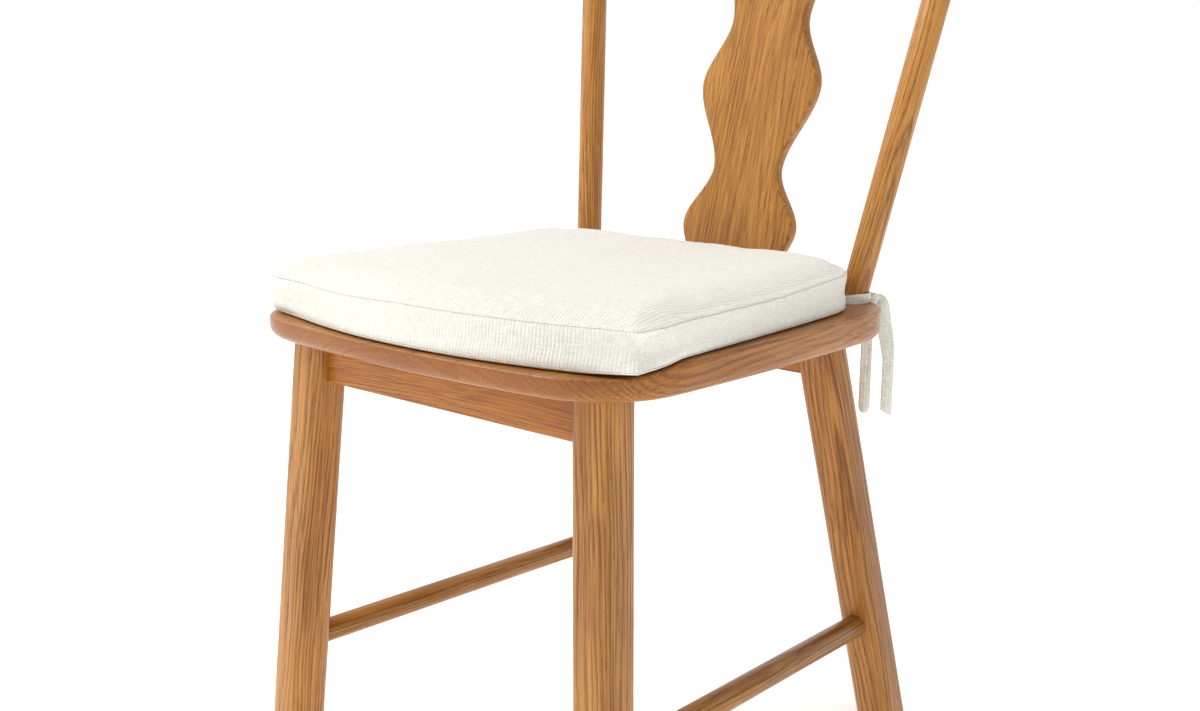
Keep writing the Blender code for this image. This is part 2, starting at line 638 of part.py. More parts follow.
for word, side in SIDES.items():
    hub = post_axis(side, TIE_Z)
    inner = POST_RADIUS + TIE_CLEARANCE
    outer = inner + TIE_THICKNESS
    angles = [TIE_START + (TIE_END - TIE_START) * step / 12 for step in range(13)]
    band = [(outer * math.cos(a), outer * math.sin(a)) for a in angles]
    band += [(inner * math.cos(a), inner * math.sin(a)) for a in reversed(angles)]
    band = [(side * x, y) for x, y in band[:: side]]
    mesh = slab("cushion_tie", band, TIE_WIDTH)
    mesh.transform(lean_matrix(side * POST_LEAN[0], POST_LEAN[1]))
    add(f"cushion_tie_{word}", mesh, hub, "cushion_linen")

    reach = POST_RADIUS + KNOT_RADIUS + 2 * TIE_CLEARANCE
    turned = Vector((side * reach * math.cos(KNOT_ANGLE), reach * math.sin(KNOT_ANGLE), 0))
    bm = bmesh.new()
    bmesh.ops.create_uvsphere(bm, u_segments=12, v_segments=8, radius=KNOT_RADIUS)
    bmesh.ops.scale(bm, verts=bm.verts, vec=(1, 0.85, 1.1))
    add(f"tie_knot_{word}", to_mesh("tie_knot", bm), hub + turned, "cushion_linen")

    for tail, route in TAIL_ROUTES.items():
        points = [Vector((side * x, y, z)) for x, y, z in route]
        name = f"tie_tail_{tail}_{word}"
        piece = add(name, ribbon(name, points, TIE_WIDTH * 0.9), look="cushion_linen")
        wall = piece.modifiers.new("cloth", "SOLIDIFY")
        wall.thickness = TIE_THICKNESS
        wall.offset = 0


origin.location.y = -(seat_front + crest_back) / 2
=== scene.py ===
"""The looks of an oak dining chair with a tied seat cushion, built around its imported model.

Metres, +Z up, the chair faces -Y and its right is +X. The sections follow the chair as it is put
together: seat, legs, stretchers, aprons, back, cushion and ties. The room and the camera come last.
"""

import json
import math

import bpy
import numpy as np
from mathutils import Matrix, Vector, noise
from mathutils.bvhtree import BVHTree

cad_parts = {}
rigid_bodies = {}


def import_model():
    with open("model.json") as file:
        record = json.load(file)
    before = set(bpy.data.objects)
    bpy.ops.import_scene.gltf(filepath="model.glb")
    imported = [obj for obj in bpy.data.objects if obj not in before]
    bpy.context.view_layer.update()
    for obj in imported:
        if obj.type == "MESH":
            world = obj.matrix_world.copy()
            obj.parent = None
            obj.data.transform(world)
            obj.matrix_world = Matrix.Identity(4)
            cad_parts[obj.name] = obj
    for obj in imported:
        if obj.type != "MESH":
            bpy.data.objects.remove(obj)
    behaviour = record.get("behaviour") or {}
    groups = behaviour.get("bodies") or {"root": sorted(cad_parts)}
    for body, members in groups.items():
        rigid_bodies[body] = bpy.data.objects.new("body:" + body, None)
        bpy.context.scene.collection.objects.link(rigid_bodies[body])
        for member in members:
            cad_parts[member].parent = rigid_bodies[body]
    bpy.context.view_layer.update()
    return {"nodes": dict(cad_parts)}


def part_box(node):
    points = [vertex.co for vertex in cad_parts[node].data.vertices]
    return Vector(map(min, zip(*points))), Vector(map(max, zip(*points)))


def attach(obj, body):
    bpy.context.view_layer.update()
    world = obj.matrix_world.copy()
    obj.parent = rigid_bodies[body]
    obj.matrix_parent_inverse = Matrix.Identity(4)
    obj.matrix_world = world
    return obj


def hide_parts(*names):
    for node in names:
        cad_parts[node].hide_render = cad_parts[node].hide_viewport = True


for leftover in list(bpy.data.objects):
    bpy.data.objects.remove(leftover)
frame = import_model()


# ------------------------------------------------------------------ seat panel
# Solid oak boards 78 mm wide, glued edge to edge with the grain running from front to back. The top
# is scooped for the sitter: a rim stays at the sides and back, and the hollow runs out over the
# front edge. The edge is rounded over at the top and undercut below, sanded and lacquered.

seat_low, seat_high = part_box("seat_panel")
middle_y = seat_low.y + 0.249
SEAT_UNDERCUT = 0.0105
SEAT_TOP_ROUND = 0.0022
SCOOP_DEPTH = 0.0096
SCOOP_WALL = (0.027, 0.054)
FRONT_RAMP = (middle_y - 0.200, middle_y - 0.142)


def linear(hex_colour):
    """An sRGB hex colour as linear RGBA."""
    values = [int(hex_colour[i : i + 2], 16) / 255 for i in (1, 3, 5)]
    return (*[v / 12.92 if v <= 0.04045 else ((v + 0.055) / 1.055) ** 2.4 for v in values], 1.0)


def add(tree, kind, inputs=None, out=0, **settings):
    """Add one shader node. An input is a value or another node's output. Gives its output out."""
    made = tree.nodes.new(kind)
    for key, value in settings.items():
        setattr(made, key, value)
    for key, value in (inputs or {}).items():
        if isinstance(value, bpy.types.NodeSocket):
            tree.links.new(value, made.inputs[key])
        else:
            made.inputs[key].default_value = value
    return made.outputs[out]


def blank(name):
    """A new material's node tree and its Principled shader."""
    material = bpy.data.materials.new(name)
    material.use_nodes = True
    return material, material.node_tree, material.node_tree.nodes["Principled BSDF"]


def oak(name, grain, pith, pale, deep, ring=0.0036, seed=0.0, board=0.0, figure=0.2):
    """Planed and lacquered oak. Growth rings lie round a pith line through one point along the
    grain. Each ring starts with a band of open pores, which shows as a broken dark streak."""
    material, tree, shader = blank(name)
    place = add(tree, "ShaderNodeTexCoord", out="Object")
    drift = 0.5
    if board:
        # every glued board is cut from another part of the tree
        across = add(tree, "ShaderNodeSeparateXYZ", {0: place})
        number = add(tree, "ShaderNodeMath", {0: across, 1: board}, operation="DIVIDE")
        whole = add(tree, "ShaderNodeMath", {0: number}, operation="FLOOR")
        dice = add(tree, "ShaderNodeTexWhiteNoise", {"W": whole}, out="Color", noise_dimensions="1D")
        drift = add(tree, "ShaderNodeSeparateXYZ", {0: dice})
        place = add(
            tree,
            "ShaderNodeVectorMath",
            {0: dice, 1: (0.07, 0.9, 0.05), 2: place},
            operation="MULTIPLY_ADD",
        )
    turn = Vector(grain).normalized().to_track_quat("Z", "Y").inverted()
    laid = add(
        tree,
        "ShaderNodeMapping",
        {"Vector": place, "Location": -(turn @ Vector(pith)), "Rotation": turn.to_euler()},
    )
    # slow waves pull the rings out of round, over 150 mm across the grain and 700 mm along it
    slow = add(
        tree, "ShaderNodeMapping", {"Vector": laid, "Location": (seed, seed, seed), "Scale": (7, 7, 1.5)}
    )
    wave = add(tree, "ShaderNodeTexNoise", {"Vector": slow, "Scale": 1.0, "Detail": 3.0}, out="Color")
    push = add(tree, "ShaderNodeVectorMath", {0: wave, 1: (0.5, 0.5, 0.5)}, operation="SUBTRACT")
    bent = add(
        tree, "ShaderNodeVectorMath", {0: push, 1: (0.05, 0.05, 0), 2: laid}, operation="MULTIPLY_ADD"
    )
    flat = add(tree, "ShaderNodeVectorMath", {0: bent, 1: (1, 1, 0)}, operation="MULTIPLY")
    radius = add(tree, "ShaderNodeVectorMath", {0: flat}, out="Value", operation="LENGTH")
    lean_years = add(
        tree, "ShaderNodeTexNoise", {"W": radius, "Scale": 60.0, "Detail": 1.0}, noise_dimensions="1D"
    )
    years = add(tree, "ShaderNodeMath", {0: radius, 1: 1 / ring, 2: seed}, operation="MULTIPLY_ADD")
    years = add(tree, "ShaderNodeMath", {0: lean_years, 1: 2.2, 2: years}, operation="MULTIPLY_ADD")
    season = add(tree, "ShaderNodeMath", {0: years}, operation="FRACT")
    spring = add(
        tree,
        "ShaderNodeMapRange",
        {"Value": season, "From Min": 0.05, "From Max": 0.5, "To Min": 1.0, "To Max": 0.0},
    )
    onset = add(tree, "ShaderNodeMapRange", {"Value": season, "From Min": 0.9, "From Max": 1.0})
    early = add(tree, "ShaderNodeMath", {0: spring, 1: onset}, operation="MAXIMUM")
    # fibre streaks 1.7 mm wide and 100 mm long, and pores 0.7 mm wide and 14 mm long: real pores are
    # 0.3 mm wide, drawn coarser so that they show
    fibre_place = add(tree, "ShaderNodeMapping", {"Vector": bent, "Scale": (560, 560, 10)})
    fibre = add(tree, "ShaderNodeTexNoise", {"Vector": fibre_place, "Scale": 1.0, "Detail": 3.0})
    pore_place = add(tree, "ShaderNodeMapping", {"Vector": bent, "Scale": (1350, 1350, 72)})
    pore_noise = add(tree, "ShaderNodeTexNoise", {"Vector": pore_place, "Scale": 1.0, "Detail": 1.0})
    pore = add(tree, "ShaderNodeMapRange", {"Value": pore_noise, "From Min": 0.53, "From Max": 0.64})
    banded = add(tree, "ShaderNodeMath", {0: early, 1: 0.8, 2: 0.2}, operation="MULTIPLY_ADD")
    open_pore = add(tree, "ShaderNodeMath", {0: pore, 1: banded}, operation="MULTIPLY")
    cloud = add(tree, "ShaderNodeTexNoise", {"Vector": slow, "Scale": 2.3, "Detail": 2.0})
    tone = add(tree, "ShaderNodeMath", {0: early, 1: figure, 2: fibre}, operation="MULTIPLY_ADD")
    tone = add(tree, "ShaderNodeMath", {0: cloud, 1: 0.7, 2: tone}, operation="MULTIPLY_ADD")
    tone = add(tree, "ShaderNodeMath", {0: drift, 1: 0.12, 2: tone}, operation="MULTIPLY_ADD")
    share = add(tree, "ShaderNodeMapRange", {"Value": tone, "From Min": 0.76, "From Max": 1.22})
    body = add(
        tree, "ShaderNodeMix", {0: share, 6: linear(pale), 7: linear(deep)}, out=2, data_type="RGBA"
    )
    # end grain drinks the lacquer and turns redder and darker
    normal = add(tree, "ShaderNodeTexCoord", out="Normal")
    facing = add(
        tree,
        "ShaderNodeVectorMath",
        {0: normal, 1: Vector(grain).normalized()},
        out="Value",
        operation="DOT_PRODUCT",
    )
    facing = add(tree, "ShaderNodeMath", {0: facing}, operation="ABSOLUTE")
    end = add(
        tree,
        "ShaderNodeMapRange",
        {"Value": facing, "From Min": 0.45, "From Max": 0.95, "To Max": 0.6},
    )
    body = add(
        tree, "ShaderNodeMix", {0: end, 6: body, 7: linear("#95592F")}, out=2, data_type="RGBA"
    )
    shade = add(tree, "ShaderNodeMath", {0: open_pore, 1: 0.62}, operation="MULTIPLY")
    body = add(
        tree, "ShaderNodeMix", {0: shade, 6: body, 7: linear("#6A3D18")}, out=2, data_type="RGBA"
    )
    tree.links.new(body, shader.inputs["Base Color"])
    height = add(tree, "ShaderNodeMath", {0: open_pore, 1: -1.4, 2: fibre}, operation="MULTIPLY_ADD")
    relief = add(tree, "ShaderNodeBump", {"Strength": 0.25, "Distance": 0.0002, "Height": height})
    tree.links.new(relief, shader.inputs["Normal"])
    gloss = add(
        tree,
        "ShaderNodeMapRange",
        {"Value": height, "From Min": -0.6, "From Max": 0.8, "To Min": 0.50, "To Max": 0.36},
    )
    tree.links.new(gloss, shader.inputs["Roughness"])
    shader.inputs["IOR"].default_value = 1.5
    shader.inputs["Specular IOR Level"].default_value = 0.22
    shader.inputs["Coat Weight"].default_value = 0.3
    shader.inputs["Coat Roughness"].default_value = 0.16
    return material


def only(piece):
    """Select one piece and make it active."""
    bpy.ops.object.select_all(action="DESELECT")
    piece.select_set(True)
    bpy.context.view_layer.objects.active = piece


def block(place, size):
    """A new box with its middle at a place."""
    bpy.ops.mesh.primitive_cube_add(size=1, location=place, scale=size)
    bpy.ops.object.transform_apply(location=True, scale=True)
    return bpy.context.object


def rod(radius, length, place, sides, turn=(0, 0, 0)):
    """A new cylinder with its middle at a place."""
    bpy.ops.mesh.primitive_cylinder_add(
        vertices=sides, radius=radius, depth=length, location=place, rotation=turn
    )
    bpy.ops.object.transform_apply(location=True, rotation=True)
    return bpy.context.object


def settle(piece, name, material, slot, *nodes, angle=35):
    """Name a finished piece, bring its object to the origin and let it stand for its CAD nodes."""
    only(piece)
    bpy.ops.object.transform_apply(location=True, rotation=True, scale=True)
    bpy.ops.object.shade_smooth_by_angle(angle=math.radians(angle))
    piece.name = name
    piece.data.name = name
    piece.data.materials.clear()
    piece.data.materials.append(material)
    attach(piece, "root")
    if nodes:
        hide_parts(*nodes)
    return piece


def pick(piece, kind, wanted):
    """Open a piece in edit mode with only the wanted vertices, edges or faces selected."""
    only(piece)
    bpy.ops.object.mode_set(mode="EDIT")
    bpy.ops.mesh.select_mode(type=kind)
    bpy.ops.mesh.select_all(action="DESELECT")
    bpy.ops.object.mode_set(mode="OBJECT")
    items = {"VERT": piece.data.vertices, "EDGE": piece.data.edges, "FACE": piece.data.polygons}[kind]
    for item in items:
        item.select = bool(wanted(item))
    bpy.ops.object.mode_set(mode="EDIT")


def ends_of(piece, edge):
    return [piece.data.vertices[index].co for index in edge.vertices]


def round_edges(piece, wanted, width, steps):
    """Round the edges whose two ends pass a test."""
    pick(piece, "EDGE", lambda edge: wanted(*ends_of(piece, edge)))
    bpy.ops.mesh.bevel(offset=width, segments=steps, profile=0.5, affect="EDGES")
    bpy.ops.object.mode_set(mode="OBJECT")


def level_outline(node, z, points):
    """A CAD node's outline at one level, drawn again as a smooth run of evenly spread points."""
    mesh = frame["nodes"][node].data
    ring = {(round(v.co.x, 5), round(v.co.y, 5)) for v in mesh.vertices if abs(v.co.z - z) < 0.00006}
    centre = np.mean(list(ring), axis=0)
    ring = np.array(sorted(ring, key=lambda p: math.atan2(p[1] - centre[1], p[0] - centre[0])))
    ring = ring[[math.dist(ring[i], ring[i - 1]) > 0.002 for i in range(len(ring))]]
    fine = []
    for index in range(len(ring)):
        p = [ring[(index + k) % len(ring)] for k in (-1, 0, 1, 2)]
        t = np.concatenate([[0], np.cumsum([math.dist(a, b) ** 0.5 for a, b in zip(p, p[1:])])])
        for at in np.linspace(t[1], t[2], 12, endpoint=False):
            near = [
                ((t[k + 1] - at) * p[k] + (at - t[k]) * p[k + 1]) / (t[k + 1] - t[k]) for k in range(3)
            ]
            wide = [
                ((t[k + 2] - at) * near[k] + (at - t[k]) * near[k + 1]) / (t[k + 2] - t[k])
                for k in range(2)
            ]
            fine.append(((t[2] - at) * wide[0] + (at - t[1]) * wide[1]) / (t[2] - t[1]))
    fine = np.array(fine + [fine[0]])
    run = np.concatenate([[0], np.cumsum(np.linalg.norm(np.diff(fine, axis=0), axis=1))])
    spread = np.linspace(0, run[-1], points, endpoint=False)
    return np.column_stack([np.interp(spread, run, fine[:, 0]), np.interp(spread, run, fine[:, 1])])


def ease(value, low, high):
    """Rises smoothly from 0 at low to 1 at high."""
    share = np.clip((value - low) / (high - low), 0.0, 1.0)
    return share * share * (3 - 2 * share)


seat_outline = level_outline("seat_panel", seat_low.z + SEAT_UNDERCUT, 260)
bpy.ops.mesh.primitive_circle_add(
    vertices=len(seat_outline), radius=0.2, fill_type="NGON", location=(0, 0, seat_low.z)
)
seat = bpy.context.object
for vertex, (x, y) in zip(seat.data.vertices, seat_outline):
    vertex.co.xy = (x, y)
bpy.ops.object.transform_apply(location=True)
pick(seat, "FACE", lambda face: True)
bpy.ops.mesh.extrude_region_move(TRANSFORM_OT_translate={"value": (0, 0, seat_high.z - seat_low.z)})
bpy.ops.mesh.select_all(action="SELECT")
bpy.ops.mesh.normals_make_consistent(inside=False)
bpy.ops.object.mode_set(mode="OBJECT")
round_edges(seat, lambda a, b: min(a.z, b.z) > seat_high.z - 1e-6, SEAT_TOP_ROUND, 4)
round_edges(seat, lambda a, b: max(a.z, b.z) < seat_low.z + 1e-6, SEAT_UNDERCUT, 9)
pick(seat, "FACE", lambda face: len(face.vertices) > 8 and face.center.z > seat_high.z - 1e-4)
rim_reach = {}
travelled = SEAT_TOP_ROUND
for step in [0.002] + [0.007] * 3 + [0.003] * 12:
    bpy.ops.mesh.inset(thickness=step, use_even_offset=True)
    travelled += step
    bpy.ops.object.mode_set(mode="OBJECT")
    for index in next(face for face in seat.data.polygons if face.select).vertices:
        rim_reach[index] = travelled
    bpy.ops.object.mode_set(mode="EDIT")
bpy.ops.object.mode_set(mode="OBJECT")
for vertex in seat.data.vertices:
    rim = 1 - ease(rim_reach.get(vertex.index, 0.0), *SCOOP_WALL)
    climb = min(max((vertex.co.y - FRONT_RAMP[0]) / (FRONT_RAMP[1] - FRONT_RAMP[0]), 0), 1)
    sink = SCOOP_DEPTH * (1 - rim * climb)
    bottom = seat_low.z + SEAT_UNDERCUT
    vertex.co.z -= sink * min(max((vertex.co.z - bottom) / (seat_high.z - SEAT_TOP_ROUND - bottom), 0), 1)
seat_oak = oak(
    "lacquered_oak_boards", (0.02, 1, 0), (0.01, 0, 0.24), "#B87B36", "#8B501A", seed=3.1, board=0.078
)
settle(seat, "scooped_seat", seat_oak, "oak_seat", "seat_panel")
seat_surface = BVHTree.FromPolygons(
    [vertex.co.copy() for vertex in seat.data.vertices], [tuple(face.vertices) for face in seat.data.polygons]
)


# ------------------------------------------------------------------ legs
# Square oak bars, 42 mm, with well rounded arrises, cut level at the seat and at the floor and
# tenoned into the seat's underside. The front pair splays a little, the rear pair rakes backwards.

LEG_SIDE = 0.042
LEG_SPLAYS = {"front": Vector((0.065, -0.048)), "rear": Vector((0.124, 0.188))}
leg_feet = {}


def copied(piece, mirrored=False):
    """A copy of a piece with its own mesh, on the other side of the chair if it is mirrored."""
    only(piece)
    bpy.ops.object.duplicate()
    copy = bpy.context.object
    if mirrored:
        copy.data.transform(Matrix.Scale(-1, 4, Vector((1, 0, 0))))
        copy.data.flip_normals()
    return copy


def lean(piece, foot, run):
    """Push an upright piece over sideways, so that its level cuts stay level."""
    for vertex in piece.data.vertices:
        rise = vertex.co.z - foot.z
        vertex.co.x += run[0] * rise
        vertex.co.y += run[1] * rise


for end, splay in LEG_SPLAYS.items():
    low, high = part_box(f"{end}_leg_right")
    foot = Vector((high.x - LEG_SIDE / 2, 0, low.z))
    foot.y = low.y + LEG_SIDE / 2 if end == "front" else high.y - LEG_SIDE / 2
    leg_feet[end] = foot
    length = seat_low.z - 0.0002 - low.z
    leg = block(foot + Vector((0, 0, length / 2)), (LEG_SIDE, LEG_SIDE, length))
    round_edges(leg, lambda a, b: abs(a.z - b.z) > 0.1, 0.0125, 8)
    round_edges(leg, lambda a, b: max(a.z, b.z) < foot.z + 1e-5, 0.0015, 3)
    lean(leg, foot, -splay)
    for word, side in (("right", 1), ("left", -1)):
        grain = (-side * splay.x, -splay.y, 1)
        pith = foot + Vector((0.09 * side if end == "front" else -0.07 * side, 0.11, 0))
        pith.x *= side
        leg_oak = oak(
            f"lacquered_oak_{end}_leg_{word}", grain, pith, "#C68C42", "#824B16",
            seed=4.3 + 1.7 * side + (5 if end == "rear" else 0),
        )
        settle(
            copied(leg, side < 0), f"splayed_leg_{end}_{word}", leg_oak, "oak_frame", f"{end}_leg_{word}"
        )
    bpy.data.objects.remove(leg)


# ------------------------------------------------------------------ foot glides
# Moulded brown nylon discs, each nailed into the end grain of a leg, so that the chair slides.

glide_nylon, tree, shader = blank("moulded_nylon")
mottle = add(
    tree, "ShaderNodeTexNoise", {"Vector": add(tree, "ShaderNodeTexCoord", out="Object"), "Scale": 900.0}
)
tint = add(
    tree, "ShaderNodeMix", {0: mottle, 6: linear("#7A5A3E"), 7: linear("#6A4C33")}, out=2, data_type="RGBA"
)
tree.links.new(tint, shader.inputs["Base Color"])
grit = add(tree, "ShaderNodeBump", {"Strength": 0.2, "Distance": 0.0001, "Height": mottle})
tree.links.new(grit, shader.inputs["Normal"])
shader.inputs["Roughness"].default_value = 0.5
shader.inputs["IOR"].default_value = 1.53
for end in LEG_SPLAYS:
    for word in ("right", "left"):
        low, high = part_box(f"foot_glide_{end}_{word}")
        centre = (low + high) / 2
        glide = rod((high.x - low.x) / 2, 0.003, (centre.x, centre.y, 0.0015), 48)
        round_edges(glide, lambda a, b: max(a.z, b.z) < 1e-5, 0.0011, 4)
        pick(glide, "FACE", lambda face: face.center.z < 1e-5 and len(face.vertices) > 8)
        bpy.ops.mesh.inset(thickness=0.006)
        bpy.ops.mesh.inset(thickness=0.0006)
        bpy.ops.transform.translate(value=(0, 0, 0.0011))
        bpy.ops.object.mode_set(mode="OBJECT")
        settle(glide, f"nylon_glide_{end}_{word}", glide_nylon, "glide_nylon", f"foot_glide_{end}_{word}")


# ------------------------------------------------------------------ side stretchers
# Turned oak dowels, 23 mm, glued into blind holes in the front and rear legs of each side.

STRETCHER_RADIUS = 0.0115
for word, side in (("right", 1), ("left", -1)):
    low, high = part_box(f"side_stretcher_{word}")
    height = (low.z + high.z) / 2
    tips = []
    for end in ("front", "rear"):
        rise = height - leg_feet[end].z
        out = leg_feet[end].x - LEG_SPLAYS[end].x * rise
        tips.append(Vector((side * out, leg_feet[end].y - LEG_SPLAYS[end].y * rise, height)))
    along = (tips[1] - tips[0]).normalized()
    start, stop = tips[0] + along * 0.005, tips[1] - along * 0.005
    turn = along.to_track_quat("Z", "Y").to_euler()
    dowel = rod(STRETCHER_RADIUS, (stop - start).length, (start + stop) / 2, 48, turn)
    round_edges(dowel, lambda a, b: (a - b).length < 0.002, 0.001, 2)
    dowel_oak = oak(
        f"lacquered_oak_dowel_{word}", along, start + Vector((0.02, 0, 0.05)), "#B4803E", "#7E4C1C",
        ring=0.0034, seed=2.2 + side,
    )
    settle(dowel, f"turned_stretcher_{word}", dowel_oak, "oak_frame", f"side_stretcher_{word}")


# ------------------------------------------------------------------ aprons and their screws
# Oak rails under the front and rear of the seat, tenoned between the legs. Three zinc-plated
# countersunk screws, in deep counterbores from below, pull the seat down onto each rail.

screw_zinc, tree, shader = blank("zinc_plated_steel")
spangle = add(
    tree, "ShaderNodeTexNoise", {"Vector": add(tree, "ShaderNodeTexCoord", out="Object"), "Scale": 1500.0}
)
tint = add(
    tree, "ShaderNodeMix", {0: spangle, 6: linear("#C9C6B8"), 7: linear("#A9A48F")}, out=2, data_type="RGBA"
)
tree.links.new(tint, shader.inputs["Base Color"])
shader.inputs["Metallic"].default_value = 1.0
shader.inputs["Roughness"].default_value = 0.32

for end in LEG_SPLAYS:
    low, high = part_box(f"{end}_apron")
    run = LEG_SPLAYS[end].x
    leg_top = leg_feet[end].x - run * (seat_low.z - leg_feet[end].z) - LEG_SIDE / 2
    apron = block(
        (0, (low.y + high.y) / 2, (low.z + high.z) / 2),
        (2 * (leg_top + 0.003), high.y - low.y, high.z - low.z),
    )
    round_edges(apron, lambda a, b: abs(a.x - b.x) > 0.1, 0.0014, 3)
    for vertex in apron.data.vertices:
        vertex.co.x += math.copysign(run * (high.z - vertex.co.z), vertex.co.x)
    for spot in ("left", "middle", "right"):
        screw_low, screw_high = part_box(f"apron_screw_{end}_{spot}")
        centre = (screw_low + screw_high) / 2
        bpy.ops.mesh.primitive_cylinder_add(
            vertices=40, radius=0.0045, depth=0.046, location=(centre.x, centre.y, low.z)
        )
        bore = bpy.context.object
        only(apron)
        drill = apron.modifiers.new("counterbore", "BOOLEAN")
        drill.object = bore
        bpy.ops.object.modifier_apply(modifier=drill.name)
        bpy.data.objects.remove(bore)
        head = rod(0.0038, 0.0025, (centre.x, centre.y, screw_low.z + 0.00125), 32)
        round_edges(head, lambda a, b: max(a.z, b.z) < screw_low.z + 1e-5, 0.0008, 4)
        for turn in (45, 135):
            bpy.ops.mesh.primitive_cube_add(
                size=1, location=(centre.x, centre.y, screw_low.z), rotation=(0, 0, math.radians(turn)),
                scale=(0.0046, 0.0011, 0.0026),
            )
            slot = bpy.context.object
            only(head)
            recess = head.modifiers.new("recess", "BOOLEAN")
            recess.object = slot
            bpy.ops.object.modifier_apply(modifier=recess.name)
            bpy.data.objects.remove(slot)
        settle(head, f"zinc_screw_{end}_{spot}", screw_zinc, "screw_steel", f"apron_screw_{end}_{spot}")
    apron_oak = oak(
        f"lacquered_oak_{end}_apron", (1, 0, 0.03), (0, low.y + 0.05, low.z - 0.20), "#C07B28", "#88460C",
        ring=0.0024, seed=8.4 if end == "front" else 6.6,
    )
    settle(apron, f"{end}_rail", apron_oak, "oak_frame", f"{end}_apron")


# ------------------------------------------------------------------ back posts
# Turned oak rods, 27 mm, leaning back and outwards, tenoned into the seat's rear corners.

POST_RADIUS = 0.0135
POST_LEAN = (0.148, 0.179)
POST_FOOT = Vector((0.1713, middle_y + 0.1931, seat_high.z))
crest_low, crest_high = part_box("crest_rail")
CREST_FOOT = 0.770
post_middle = (POST_FOOT.x, POST_FOOT.y, (CREST_FOOT + seat_high.z) / 2)
post = rod(POST_RADIUS, CREST_FOOT - seat_high.z + 0.002, post_middle, 64)
round_edges(post, lambda a, b: abs(a.z - b.z) < 1e-6, 0.0008, 2)
lean(post, POST_FOOT, POST_LEAN)
for word, side in (("right", 1), ("left", -1)):
    post_oak = oak(
        f"lacquered_oak_post_{word}", (side * POST_LEAN[0], POST_LEAN[1], 1),
        (side * (POST_FOOT.x - 0.06), POST_FOOT.y + 0.05, POST_FOOT.z), "#CC9148", "#945A20",
        ring=0.0034, seed=11.5 + 2 * side,
    )
    settle(copied(post, side < 0), f"turned_post_{word}", post_oak, "oak_back", f"back_post_{word}")
bpy.data.objects.remove(post)


# ------------------------------------------------------------------ back splat
# One flat-sawn oak board, 13 mm, bandsawn to a double vase outline and rounded over, housed in the
# seat and in the crest rail and leaning with the posts.

SPLAT_TURNS = [
    (0.445, 0.050), (0.501, 0.0705), (0.561, 0.0415), (0.648, 0.073), (0.718, 0.046), (0.770, 0.056)
]
SPLAT_FOOT = Vector((0, middle_y + 0.2274, seat_high.z))
SPLAT_LEAN = 0.212
splat_low, splat_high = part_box("back_splat")


def splat_half(z):
    """Half the splat's width at a height, swinging smoothly between its turning points."""
    for (z0, half0), (z1, half1) in zip(SPLAT_TURNS, SPLAT_TURNS[1:]):
        if z0 <= z <= z1:
            return half0 + (half1 - half0) * ease(z, z0, z1)
    return SPLAT_TURNS[0][1] if z < SPLAT_TURNS[0][0] else SPLAT_TURNS[-1][1]


bpy.ops.mesh.primitive_grid_add(
    x_subdivisions=6, y_subdivisions=170, size=1, location=(0, SPLAT_FOOT.y + 0.00665, 0),
    rotation=(math.radians(90), 0, 0),
)
splat = bpy.context.object
bpy.ops.object.transform_apply(location=True, rotation=True)
for vertex in splat.data.vertices:
    vertex.co.z = splat_low.z + (vertex.co.z + 0.5) * (splat_high.z - splat_low.z)
    vertex.co.x *= 2 * splat_half(vertex.co.z)
pick(splat, "FACE", lambda face: True)
bpy.ops.mesh.extrude_region_move(TRANSFORM_OT_translate={"value": (0, -0.0133, 0)})
bpy.ops.mesh.select_all(action="SELECT")
bpy.ops.mesh.normals_make_consistent(inside=False)
bpy.ops.object.mode_set(mode="OBJECT")
round_edges(
    splat,
    lambda a, b: abs(a.y - b.y) < 1e-6
    and all(abs(abs(end.x) - splat_half(end.z)) < 1e-6 for end in (a, b))
    and abs(a.z - b.z) > 1e-6,
    0.0036,
    5,
)
lean(splat, SPLAT_FOOT, (0, SPLAT_LEAN))
splat_oak = oak(
    "lacquered_oak_splat", (0.03, SPLAT_LEAN + 0.03, 1), SPLAT_FOOT + Vector((0.022, 0.050, 0)),
    "#C48A3E", "#8C531B", seed=1.3, figure=0.12,
)
settle(splat, "vase_splat", splat_oak, "oak_back", "back_splat")


# ------------------------------------------------------------------ crest rail
# A bowed oak rail, 24 mm thick and 54 mm high, that caps both posts and the splat, all its arrises
# rounded and its top falling slightly towards the ends.

CREST_HEIGHT = 0.054
CREST_THICKNESS = 0.024
crest_half = (crest_high.x - crest_low.x) / 2
crest_middle = SPLAT_FOOT.y + SPLAT_LEAN * (CREST_FOOT - seat_high.z)
post_top = Vector((POST_FOOT.x, POST_FOOT.y)) + Vector(POST_LEAN) * (CREST_FOOT - seat_high.z)
sag = crest_middle - post_top.y
bow = (post_top.x**2 + sag**2) / (2 * sag)
crest = block((0, 0, CREST_HEIGHT / 2), (2 * crest_half, CREST_THICKNESS, CREST_HEIGHT))
round_edges(crest, lambda a, b: True, 0.007, 6)
pick(crest, "EDGE", lambda edge: abs(ends_of(crest, edge)[0].x - ends_of(crest, edge)[1].x) > crest_half)
bpy.ops.mesh.subdivide(number_cuts=60)
bpy.ops.object.mode_set(mode="OBJECT")
for vertex in crest.data.vertices:
    x, y, z = vertex.co
    drop = 0.010 * (z / CREST_HEIGHT) * (x / crest_half) ** 2
    forward = bow - math.sqrt(bow**2 - x**2)
    vertex.co = (x, y + crest_middle - forward + 0.195 * (z - drop), CREST_FOOT + z - drop)
crest_oak = oak(
    "lacquered_oak_crest", (1, 0, 0.01), (0, crest_middle - 0.05, CREST_FOOT - 0.08), "#C48A40", "#8F581F",
    ring=0.0044, seed=9.2,
)
settle(crest, "bowed_crest", crest_oak, "oak_back", "crest_rail")


# ------------------------------------------------------------------ seat cushion
# A boxed cushion in ivory slub linen over foam: a crowned top panel, a side band and a bottom panel,
# sewn with plain seams. It lies in the scoop, and the rim lifts its sides.


